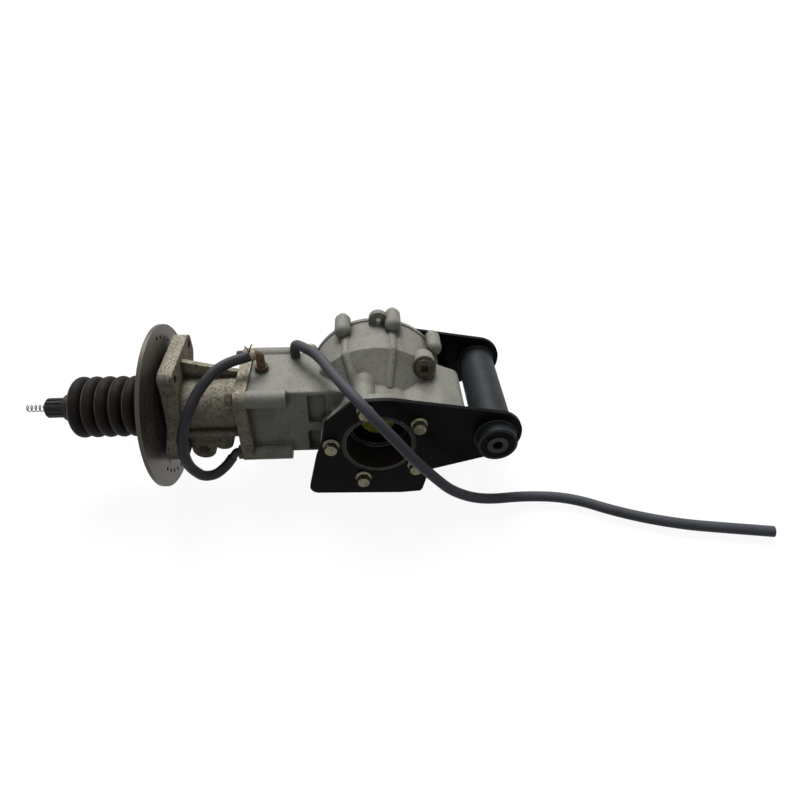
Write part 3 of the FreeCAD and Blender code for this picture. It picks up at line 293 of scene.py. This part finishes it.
def make_finishes(colours):
    """Every finish, by a short key, under the name of the real material. Sand, grit and scale of a few
    tenths of a millimetre are drawn as grain of about a millimetre, so that they show."""
    FINISHES.update({
        # Sand-cast aluminium: a dull grey oxide skin with fine sand grain, painted shade in its hollows and
        # in the near mouth, and edges drawn bright as wear and as a painted highlight
        "cast": worn_surface("SandCastAluminium", tuple(colours.aluminium), "#716f64", 28, 1.3,
                             metallic=0.05, roughness=0.6, specular=0.25, dirt=0.5, bump_mm=0.25,
                             specks="#a9a79d", speck_share=0.2, pits="#69675c", hollow_shade="#4c493f",
                             edge_wear_and_highlight="#aeada5", edge_mm=1.8, painted_light_colour="#17130f",
                             painted_light_place=mouth_painted_shade),
        # The same alloy under baked road dirt: sand grains on its upper faces, dark pits between them, and
        # painted shade in its hollows
        "housing": worn_surface("WeatheredCastAluminium", "#a39d8d", tuple(colours.grime), 9, 1.7,
                                roughness=0.75, specular=0.15, dirt=0.65, bump_mm=0.4, specks="#c2bcaa",
                                speck_share=0.75, pits="#5e584b", hollow_shade="#433d32", edge_mm=1.8),
        # Black paint over flat plate: deep black, greyer where dust lies, and lighter on the edges, where
        # the paint is rubbed thin and a highlight is painted
        "plate": worn_surface("BlackPlatePaint", tuple(colours.plate_paint), "#111213", 30, 2.5,
                              roughness=0.38, specular=0.04, bump_mm=0.02, edge_wear_and_highlight="#34373a",
                              edge_mm=0.7),
        # Satin dark grey paint on drawn tube, lighter on the edges as wear and painted highlight
        "tube": worn_surface("SatinTubePaint", "#2e3234", "#232628", 26, 2.0, roughness=0.5, specular=0.1,
                             dirt=0.4, bump_mm=0.03, edge_wear_and_highlight="#4f5355", edge_mm=0.7),
        # Ripples of a hand weld under the same black paint, with painted shade in the corners along it
        "weld": worn_surface("PaintedWeldBead", "#141516", "#1e1f20", 3, 1.0, roughness=0.45,
                             specular=0.15, bump_mm=0.2, hollow_shade="#050505"),
        # Yellow zinc plate: pale gold that has gone to grey, painted shade in the corners, and edges drawn
        # bright as wear and as a painted highlight
        "zinc": worn_surface("YellowZincPlate", "#77735c", "#4a4738", 4, 0.8, metallic=0.75,
                             roughness=0.32, dirt=0.55, bump_mm=0.05, hollow_shade="#22201a",
                             edge_wear_and_highlight="#b3b19f", edge_mm=0.5),
        # Plain steel screws and plugs gone brown, with painted shade in corners and edges drawn light as
        # wear and painted highlight
        "brown_steel": worn_surface("BrownedSteel", "#50473b", "#322b22", 5, 0.8, metallic=0.4,
                                    roughness=0.5, dirt=0.6, bump_mm=0.08, hollow_shade="#14110d",
                                    edge_wear_and_highlight="#756d5f", edge_mm=0.5),
        # Disc steel turned on a lathe and ground by the pads
        "disc": turned_disc("TurnedDiscSteel"),
        # Steel under grease and brake dust, with painted shade in corners and edges drawn light as wear and
        # painted highlight
        "greasy": worn_surface("GreasySteel", "#3a3128", "#1b1510", 9, 1.2, metallic=0.3, roughness=0.6,
                               dirt=0.7, bump_mm=0.15, hollow_shade="#0e0b08", edge_wear_and_highlight="#5a5248",
                               edge_mm=0.5),
        # Rusty steel pipe: brown scale over grey, with painted shade in corners and edges drawn light as
        # wear and painted highlight
        "rusty": worn_surface("RustedSteelPipe", "#7d6c58", "#4a3522", 5, 0.8, metallic=0.2,
                              roughness=0.7, dirt=0.6, bump_mm=0.2, hollow_shade="#21180f",
                              edge_wear_and_highlight="#93856f", edge_mm=0.6),
        # Pale zinc band gone chalky, with painted shade in its grooves
        "band": worn_surface("ChalkedZincBand", "#9d9783", "#645d4d", 3, 0.7, metallic=0.3, roughness=0.6,
                             bump_mm=0.1, hollow_shade="#45402f"),
        # Steel blackened in oil: almost black, with a soft shine and painted shade in its corners
        "dark_fitting": worn_surface("BlackenedSteel", "#1a1918", "#262422", 6, 1.0, metallic=0.2,
                                     hollow_shade="#080807", edge_mm=0.5),
        # Bright drawn wire with a little dirt
        "spring": worn_surface("SpringSteelWire", "#9a968d", "#5d5851", 3, 0.5, metallic=0.9,
                               roughness=0.35, bump_mm=0.02),
        # Hobbed and turned steel with a film of oil, painted shade between the teeth and edges drawn light
        # as wear and painted highlight
        "gear": worn_surface("MachinedGearSteel", "#4a4743", "#24211f", 10, 1.0, metallic=0.7,
                             roughness=0.35, dirt=0.6, bump_mm=0.04, hollow_shade="#0c0b0a",
                             edge_wear_and_highlight="#8d8983", edge_mm=0.3),
        # The same steel, black with old grease, painted shade in its grooves, and bright only on the
        # spline's tips as wear and painted highlight
        "shaft": worn_surface("GreasedShaftSteel", "#211e1b", "#110f0d", 6, 0.8, metallic=0.35,
                              roughness=0.45, dirt=0.6, bump_mm=0.04, hollow_shade="#0a0908",
                              edge_wear_and_highlight="#5e5b56", edge_mm=0.4),
        # Ground and polished bearing steel: bright and smooth
        "bearing": worn_surface("GroundBearingSteel", "#a8a8a8", "#8b8a87", 12, 0.8, metallic=1.0,
                                roughness=0.22, specular=0.5, bump_mm=0.01),
        # Moulded rubber with a bloom, and painted highlights along its valleys
        "boot": worn_surface("MouldedBootRubber", "#16120f", "#241f1a", 14, 1.0, roughness=0.62,
                             specular=0.12, bump_mm=0.08, painted_light_colour="#5c5751", painted_light_place=valley_painted_highlight),
        # Moulded black rubber of the bushes and seals, with hardly any shine
        "rubber": worn_surface("BlackBushRubber", "#030303", "#080808", 8, 0.8, roughness=0.5,
                               specular=0.04),
        # Extruded hose rubber, slightly bloomed
        "hose": worn_surface("ExtrudedHoseRubber", tuple(colours.hose_rubber), "#383a3f", 40, 1.0,
                             roughness=0.55, specular=0.2, dirt=0.45, bump_mm=0.04),
        # Older hose rubber, darker and without the bloom
        "dark_hose": worn_surface("AgedHoseRubber", "#34343a", "#27262a", 30, 1.0, roughness=0.5,
                                  specular=0.2, bump_mm=0.04),
        # Moulded polyethylene, dyed yellow-green and dirty
        "cap": worn_surface("MouldedCapPlastic", "#9c9e28", "#5f6022", 6, 0.8, roughness=0.42, dirt=0.4),
    })


def studio_paper():
    """Studio paper: white where it is seen or mirrored, and grey in the light that it throws back."""
    glow_strength, glow_share = 1.05, 0.88
    material, tree, shader = new_material("PaleStudioPaper")
    seen = seen_directly(tree)
    tree.links.new(lay_colours(tree, "#606060", [(seen, "#f6f6f6")]), shader.inputs["Base Color"])
    shader.inputs["Roughness"].default_value = 0.9
    shader.inputs["Specular IOR Level"].default_value = 0.0
    # The white glows by its own light for this share, so that the object's shadow on it stays faint
    glow = add_node(tree, "ShaderNodeEmission", {"Color": "#ffffff", "Strength": glow_strength})
    share = add_node(tree, "ShaderNodeMath", {"operation": "MULTIPLY", 0: seen, 1: glow_share})
    mixed = add_node(tree, "ShaderNodeMixShader", {0: share, 1: shader.outputs["BSDF"], 2: glow})
    output = next(node for node in tree.nodes if node.type == "OUTPUT_MATERIAL")
    tree.links.new(mixed, output.inputs["Surface"])
    return material


def studio_world():
    """Weak even light from all round, which is seen as white."""
    world = bpy.data.worlds.new("Studio")
    world.use_nodes = True
    tree = world.node_tree
    tree.nodes.clear()
    soft = add_node(tree, "ShaderNodeBackground", {"Color": "#fbfcff", "Strength": 0.16})
    white = add_node(tree, "ShaderNodeBackground", {"Color": "#ffffff", "Strength": 1.0})
    mixed = add_node(tree, "ShaderNodeMixShader", {0: seen_directly(tree), 1: soft, 2: white})
    add_node(tree, "ShaderNodeOutputWorld", {"Surface": mixed}, output=None)
    return world


# Pieces

def finish(key, *names):
    """Gives CAD nodes their material."""
    for name in names:
        data = NODES[name].data
        data.materials.clear()
        data.materials.append(FINISHES[key])


def add_piece(name, mesh, key, body):
    """A new object at the origin, with its finish, riding on its body."""
    bmesh.ops.recalc_face_normals(mesh, faces=mesh.faces)
    for face in mesh.faces:
        face.smooth = True
    data = bpy.data.meshes.new(name)
    mesh.to_mesh(data)
    mesh.free()
    data.set_sharp_from_angle(angle=math.radians(40))
    data.materials.append(FINISHES[key])
    obj = bpy.data.objects.new(name, data)
    bpy.context.collection.objects.link(obj)
    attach(obj, body)
    return obj


class AXLE_OT_castings(Operator):
    """Main casting, cover and bearing housing"""
    bl_idname = "axle.castings"
    bl_label = "Castings"

    def execute(self, context):
        finish("cast", "main_casing", "far_cover")
        finish("housing", "pinion_housing")
        return {"FINISHED"}


class AXLE_OT_plates(Operator):
    """Side plates, pivot tube, its weld beads, rubbers and collars"""
    bl_idname = "axle.plates"
    bl_label = "Plates and pivot tube"

    def execute(self, context):
        finish("plate", "near_plate", "far_plate")
        finish("tube", "cross_tube")
        finish("rubber", "near_pivot_rubber", "far_pivot_rubber")
        finish("dark_fitting", "near_pivot_collar", "far_pivot_collar")
        bead = context.scene.axle_sizes.weld_radius
        # The puddles of a hand weld, 5 degrees apart, stand up by this share of the bead
        puddles, puddle_rise = 72, 0.25
        tube_low, tube_high = (Vector(corner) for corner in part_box("cross_tube"))
        tube_radius = (tube_high.x - tube_low.x) / 2
        centre = Vector(((tube_low.x + tube_high.x) / 2, 0, (tube_low.z + tube_high.z) / 2))
        for name, plate in (("NearWelds", "near_plate"), ("FarWelds", "far_plate")):
            low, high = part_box(plate)
            mesh = bmesh.new()
            for face_y in (low[1], high[1]):
                start = Matrix.Translation(centre + Vector((tube_radius, face_y, 0)))
                ring = bmesh.ops.create_circle(mesh, segments=10, radius=bead, matrix=start)["verts"]
                ring_edges = list({edge for vert in ring for edge in vert.link_edges})
                bmesh.ops.spin(mesh, geom=ring + ring_edges, cent=centre, axis=(0, 1, 0), dvec=(0, 0, 0),
                               angle=math.tau, steps=2 * puddles, use_merge=True)
            for vert in mesh.verts:
                out = Vector((vert.co.x - centre.x, 0, vert.co.z - centre.z))
                puddle = 0.5 + 0.5 * math.sin(puddles * math.atan2(out.z, out.x))
                vert.co += out.normalized() * puddle_rise * bead * puddle
            add_piece(name, mesh, "weld", "casing")
        return {"FINISHED"}


class AXLE_OT_fasteners(Operator):
    """Screws, plugs, bands and the coupling spring"""
    bl_idname = "axle.fasteners"
    bl_label = "Fasteners"

    def execute(self, context):
        finish("zinc", "near_plate_bolts", "far_plate_bolts", "cover_bolts")
        finish("brown_steel", "housing_bolts", "filler_plug", "drain_plug")
        finish("greasy", "disc_bolts", "hub_nut")
        finish("gear", "ring_gear_bolts")
        finish("spring", "coupling_spring")
        finish("dark_fitting", "boot_band_large", "boot_band_small")
        return {"FINISHED"}


class AXLE_OT_running_gear(Operator):
    """Disc, shaft, gears, bearings, seals, boot and cap"""
    bl_idname = "axle.running_gear"
    bl_label = "Running gear"

    def execute(self, context):
        finish("disc", "brake_disc")
        finish("greasy", "disc_hub")
        finish("shaft", "input_shaft")
        finish("gear", "ring_gear", "axle_hub", "bearing_spacer", "bearing_retainer")
        finish("bearing", *(name for name in NODES if name.endswith(("_race", "_rollers"))))
        finish("rubber", "near_axle_seal", "far_axle_seal", "pinion_seal")
        finish("boot", "boot")
        finish("cap", "bore_cap")
        return {"FINISHED"}


class AXLE_OT_hoses(Operator):
    """Both hoses and their fittings"""
    bl_idname = "axle.hoses"
    bl_label = "Hoses and fittings"

    def execute(self, context):
        diameter = context.scene.axle_sizes.hose_diameter
        finish("rusty", "elbow_fitting", "breather_fitting")
        finish("dark_fitting", "lower_fitting")
        finish("dark_hose", "short_hose")
        # The long hose's points in millimetres, from the breather elbow to its cut end
        route = [
            (-86, 28.4, 43.5), (-86.3, 28.6, 50.5), (-84, 26, 57.5), (-74.5, 14.5, 60.5),
            (-59.5, -1, 61.5), (-42.5, -37.5, 63), (-31.5, -59, 64.5), (-21.5, -76, 64), (-11, -88, 59),
            (0, -95, 48.5), (14, -99.5, 33), (32, -102, 9), (52, -102.5, -14.5), (72.5, -104, -36),
            (104, -103, -50.5), (150, -99, -50.8), (194, -106, -48), (236, -131, -44.5),
            (285, -150, -40.7), (330, -160, -37.2), (368, -168, -34.3),
        ]
        curve = bpy.data.curves.new("LongHose", "CURVE")
        curve.dimensions = "3D"
        spline = curve.splines.new("NURBS")
        spline.points.add(len(route) - 1)
        for point, (x, y, z) in zip(spline.points, route):
            point.co = (x / 1000, y / 1000, z / 1000, 1)
        spline.order_u = 3
        spline.use_endpoint_u = True
        spline.resolution_u = 12
        curve.bevel_depth = diameter / 2
        curve.bevel_resolution = 6
        curve.use_fill_caps = True
        curve.materials.append(FINISHES["hose"])
        hose = bpy.data.objects.new("LongHose", curve)
        context.collection.objects.link(hose)
        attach(hose, "casing")
        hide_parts("long_hose")
        return {"FINISHED"}


class AXLE_OT_elbow_band(Operator):
    """Pale band on the elbow at the short hose's end, and the two ears of the wire clamp"""
    bl_idname = "axle.elbow_band"
    bl_label = "Elbow band"

    def execute(self, context):
        half_width = context.scene.axle_sizes.band_width / 2
        flat_half = half_width * 2 / 3
        elbow_radius, rim_radius, band_radius = 0.0045, 0.0052, 0.0055
        gap_to_hose = 0.0002
        # The hose's end on the elbow, and the way from the elbow into the hose
        hose_end = Vector((-0.12874, -0.00013, 0.061))
        way = Vector((-0.885, -0.466, 0)).normalized()
        up = Vector((0, 0, 1))
        turn = Matrix((way.cross(up), up, way)).transposed().to_4x4()
        middle = hose_end - way * (half_width + gap_to_hose)
        mesh = bmesh.new()
        profile = [mesh.verts.new((radius, 0, along)) for radius, along in (
            (elbow_radius, -half_width), (rim_radius, -half_width), (band_radius, -flat_half),
            (band_radius, flat_half), (rim_radius, half_width), (elbow_radius, half_width))]
        edges = [mesh.edges.new((profile[i - 1], profile[i])) for i in range(len(profile))]
        bmesh.ops.spin(mesh, geom=profile + edges, cent=(0, 0, 0), axis=(0, 0, 1), dvec=(0, 0, 0),
                       angle=math.tau, steps=40, use_merge=True)
        bmesh.ops.transform(mesh, matrix=Matrix.Translation(middle) @ turn, verts=mesh.verts)
        band = add_piece("ElbowBand", mesh, "band", "casing")
        # Each ear is a bent wire: up and outwards, then over. Its two runs overlap a little at the knee
        wire_radius, overlap = 0.0006, 0.0008
        foot = hose_end - way * 0.0008 + up * 0.005
        knee_height, tip_height = 0.0058, 0.0018
        mesh = bmesh.new()
        for lean, bend in ((0.0022, 0.0012), (-0.0024, -0.0016)):
            knee = foot + way * lean + up * knee_height
            tip = knee + way * bend + up * tip_height
            for start, end in ((foot, knee), (knee, tip)):
                run = end - start
                turned = run.to_track_quat("Z", "Y").to_matrix().to_4x4()
                bmesh.ops.create_cone(mesh, cap_ends=True, segments=10, radius1=wire_radius,
                                      radius2=wire_radius, depth=run.length + overlap,
                                      matrix=Matrix.Translation((start + end) / 2) @ turned)
        ears = add_piece("ClampEars", mesh, "dark_fitting", "casing")
        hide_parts("elbow_clamp")
        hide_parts("elbow_clamp")
        return {"FINISHED"}


class AXLE_OT_stage(Operator):
    """Floor, lights and the camera at the photograph's viewpoint"""
    bl_idname = "axle.stage"
    bl_label = "Stage"

    def execute(self, context):
        scene = context.scene
        # The floor leans as the disc's lowest point and the lying stretch of the long hose give it, and
        # lies a little under them
        slope, under_disc = -0.079, (-0.221, 0, -0.0885)
        mesh = bmesh.new()
        bmesh.ops.create_grid(mesh, x_segments=1, y_segments=1, size=30.0)
        bmesh.ops.transform(mesh, matrix=Matrix.Rotation(math.atan(slope), 4, "Y"), verts=mesh.verts)
        bmesh.ops.translate(mesh, vec=under_disc, verts=mesh.verts)
        data = bpy.data.meshes.new("Floor")
        mesh.to_mesh(data)
        mesh.free()
        data.materials.append(studio_paper())
        floor = bpy.data.objects.new("Floor", data)
        scene.collection.objects.link(floor)
        scene.world = studio_world()

        # The key light comes from above and behind, as in the photograph, and a weak one fills the front
        for name, direction, spread, strength in (("KeyLight", (-0.1, 0.74, 1.0), 38, 3.2),
                                                  ("FillLight", (0.25, -1.0, 1.3), 60, 0.15)):
            lamp = bpy.data.lights.new(name, "SUN")
            lamp.angle = math.radians(spread)
            lamp.energy = strength
            light = bpy.data.objects.new(name, lamp)
            scene.collection.objects.link(light)
            light.rotation_euler = Vector(direction).to_track_quat("Z", "Y").to_euler()

        # The camera's lens, turn and place were fitted to the photograph, and its angles are in radians
        photo_pixels, focal_pixels, sensor_mm = 800, 593.5171, 36
        yaw, pitch, roll = -0.0745, 0.6827, -0.0227
        target, distance = Vector((0.025168, 0, -0.000692)), 0.6473406
        camera_data = bpy.data.cameras.new("PhotoCamera")
        camera_data.sensor_width = sensor_mm
        camera_data.lens = focal_pixels / photo_pixels * sensor_mm
        camera = bpy.data.objects.new("PhotoCamera", camera_data)
        scene.collection.objects.link(camera)
        view = Vector((-math.sin(yaw) * math.cos(pitch), math.cos(yaw) * math.cos(pitch), -math.sin(pitch)))
        across = Vector((math.cos(yaw), math.sin(yaw), 0))
        down = view.cross(across)
        right = math.cos(roll) * across + math.sin(roll) * down
        below = -math.sin(roll) * across + math.cos(roll) * down
        turn = Matrix((right, -below, -view)).transposed().to_4x4()
        camera.matrix_world = Matrix.Translation(target - view * distance) @ turn
        scene.camera = camera
        scene.view_settings.view_transform = "Standard"
        return {"FINISHED"}


class AXLE_PT_panel(Panel):
    """Lists the settings and the steps"""
    bl_idname = "AXLE_PT_panel"
    bl_label = "Rear axle drive"
    bl_space_type = "VIEW_3D"
    bl_region_type = "UI"
    bl_category = "Axle"

    def draw(self, context):
        layout = self.layout
        for group in (context.scene.axle_sizes, context.scene.axle_colours):
            box = layout.box()
            for name in group.__annotations__:
                box.prop(group, name)
        for step in STEPS:
            layout.operator(step.bl_idname)


STEPS = (AXLE_OT_stage, AXLE_OT_hoses, AXLE_OT_castings, AXLE_OT_plates, AXLE_OT_fasteners,
         AXLE_OT_running_gear, AXLE_OT_elbow_band)
CLASSES = (AxleSizes, AxleColours) + STEPS + (AXLE_PT_panel,)


def register():
    for cls in CLASSES:
        bpy.utils.register_class(cls)
    bpy.types.Scene.axle_sizes = PointerProperty(type=AxleSizes)
    bpy.types.Scene.axle_colours = PointerProperty(type=AxleColours)


def unregister():
    del bpy.types.Scene.axle_colours
    del bpy.types.Scene.axle_sizes
    for cls in reversed(CLASSES):
        bpy.utils.unregister_class(cls)


def main():
    register()
    make_finishes(bpy.context.scene.axle_colours)
    bpy.ops.axle.stage()
    bpy.ops.axle.hoses()
    bpy.ops.axle.castings()
    bpy.ops.axle.plates()
    bpy.ops.axle.fasteners()
    bpy.ops.axle.running_gear()
    bpy.ops.axle.elbow_band()


if __name__ == "__main__":
    main()
